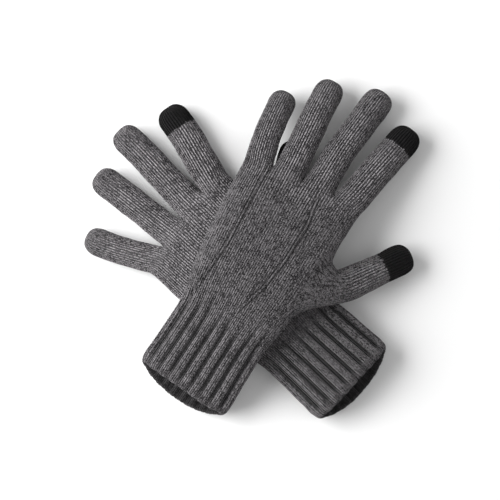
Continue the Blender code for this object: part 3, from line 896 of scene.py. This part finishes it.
def split(glove_object, glove):
    """Cuts a glove along its pieces' borders and returns them by name."""
    mesh = glove_object.data
    kept = mesh.attributes.new("whole_normal", "FLOAT_VECTOR", "POINT")
    kept.data.foreach_set("vector", read(mesh.vertex_normals, "vector", np.float32, 3).ravel())
    names = [slot.name for slot in mesh.materials]
    bpy.ops.object.select_all(action="DESELECT")
    glove_object.select_set(True)
    bpy.context.view_layer.objects.active = glove_object
    bpy.ops.object.mode_set(mode="EDIT")
    bpy.ops.mesh.select_all(action="SELECT")
    bpy.ops.mesh.separate(type="MATERIAL")
    bpy.ops.object.mode_set(mode="OBJECT")
    made = {}
    for piece in [o for o in bpy.context.selected_objects if o.type == "MESH"]:
        mesh = piece.data
        index = mesh.polygons[0].material_index if len(mesh.materials) > 1 else 0
        name = mesh.materials[index].name
        mesh.materials.clear()
        normals = read(mesh.attributes["whole_normal"].data, "vector", np.float32, 3)
        mesh.normals_split_custom_set_from_vertices(normals)
        mesh.attributes.remove(mesh.attributes["whole_normal"])
        piece.name = mesh.name = f"{name}_knit"
        made[name.removeprefix(f"{glove}_")] = piece
    for name in names:
        bpy.data.materials.remove(bpy.data.materials[name])
    print(glove, "pieces:", ", ".join(f"{n} {len(p.data.polygons)}" for n, p in made.items()))
    return made


pieces = {glove: split(glove_object, glove) for glove, glove_object in gloves.items()}

# %% [markdown]
# The hand, the cuff and the black tips ride with their bodies. The wrist and the stretches of the fingers
# and the thumb stay where they were made.

# %% Bodies
BEND_MARGIN = 1.5 * MM  # from the end of the last bend to a tip's seam
FINGER_PARTS = ("proximal", "middle", "distal")


def attach_hand(glove, made):
    for name in ("hand", "cuff", "cuff_edge", "cuff_lining"):
        body = "hand" if name == "hand" else "cuff"
        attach(made[name], f"{glove}_{body}")
        if name != "cuff_lining":
            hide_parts(f"{glove}_{name}")
    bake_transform(made["wrist"])


def attach_finger(glove, finger, made):
    line = finger_line(glove, finger)
    first, second, third = ((b - a).length for a, b in zip(line, line[1:]))
    last_bend = third - SEAM[finger] * MM - BEND_MARGIN if finger in SEAM else 6 * MM
    bends = (first * 0.5, first + second * 0.5, first + second + last_bend)
    points = [line[0]] + [along_line(line, at)[0] for at in bends]
    bodies = [f"{glove}_hand"] + [f"{glove}_{finger}_{part}" for part in FINGER_PARTS]
    for k, part in enumerate(("root", "middle", "end")):
        piece = made[f"{finger}_{part}"]
        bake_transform(piece)
        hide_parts(bodies[k + 1])


def attach_thumb(glove, made):
    line = thumb_line(glove)
    first, second = ((b - a).length for a, b in zip(line, line[1:]))
    seam = first + second - SEAM["thumb"] * MM - BEND_MARGIN
    half, last = (along_line(line, at)[0] for at in (first * 0.55, seam))
    bodies = [f"{glove}_{body}" for body in ("hand", "thumb_proximal", "thumb_distal")]
    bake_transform(made["thumb_root"])
    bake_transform(made["thumb_end"])
    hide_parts(bodies[1])
    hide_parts(bodies[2])


for glove, made in pieces.items():
    attach_hand(glove, made)
    for finger in FINGERS:
        attach_finger(glove, finger, made)
    attach_thumb(glove, made)
    for tip, body in (("index_touch_tip", "index_distal"), ("thumb_touch_tip", "thumb_distal")):
        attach(made[tip], f"{glove}_{body}")
        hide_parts(f"{glove}_{tip}")
print("pieces in all:", sum(len(made) for made in pieces.values()))

# %% [markdown]
# Everything is knitted in the grey yarn but the tips, and the cuff's edge, which has a darker copy of the
# grey yarn as painted shade at the mouth.

# %% The finish of each piece
SLOTS = {
    "cuff_edge": "edge_yarn", "index_touch_tip": "black_conductive_yarn",
    "thumb_touch_tip": "black_conductive_yarn",
}
for glove, made in pieces.items():
    for name, piece in made.items():
        slot = SLOTS.get(name, "grey_yarn")
        piece.data.materials.append(finishes[slot])
    print(glove, "pieces in grey:", sum(name not in SLOTS for name in made))

# %% [markdown]
# ## Floor and light
#
# The pair lies on a plain pale floor. A broad soft light from the left models the fingers and
# the cuffs' ribs, and a weaker one from the right keeps the shadows open.

# %% Floor and light
floor_mesh = bpy.data.meshes.new("floor")
bm = bmesh.new()
bmesh.ops.create_grid(bm, x_segments=1, y_segments=1, size=3.0)
bm.to_mesh(floor_mesh)
bm.free()
floor = bpy.data.objects.new("floor", floor_mesh)
bpy.context.scene.collection.objects.link(floor)
paper = Nodes("floor_paper")
paper.shader.inputs["Base Color"].default_value = (0.86, 0.86, 0.86, 1)
paper.shader.inputs["Roughness"].default_value = 0.9
floor_mesh.materials.append(paper.material)


def area_light(name, right, up, height, size, power):
    """A square light, placed from the aim in the view's own directions, in metres."""
    data = bpy.data.lights.new(name, "AREA")
    data.size, data.energy = size, power
    lamp = bpy.data.objects.new(name, data)
    lamp.location = aim + view_right * right + view_up * up + UP * height
    lamp.rotation_euler = (aim - lamp.location).to_track_quat("-Z", "Y").to_euler()
    bpy.context.scene.collection.objects.link(lamp)
    return lamp


area_light("key", -1.25, 0.12, 0.70, 1.4, 52)
area_light("fill", 0.9, -0.3, 1.2, 1.2, 2)
world = bpy.data.worlds.new("studio")
bpy.context.scene.world = world
world.use_nodes = True
world.node_tree.nodes["Background"].inputs["Color"].default_value = (1, 1, 1, 1)
world.node_tree.nodes["Background"].inputs["Strength"].default_value = 0.46
bpy.context.scene.view_settings.view_transform = "Standard"
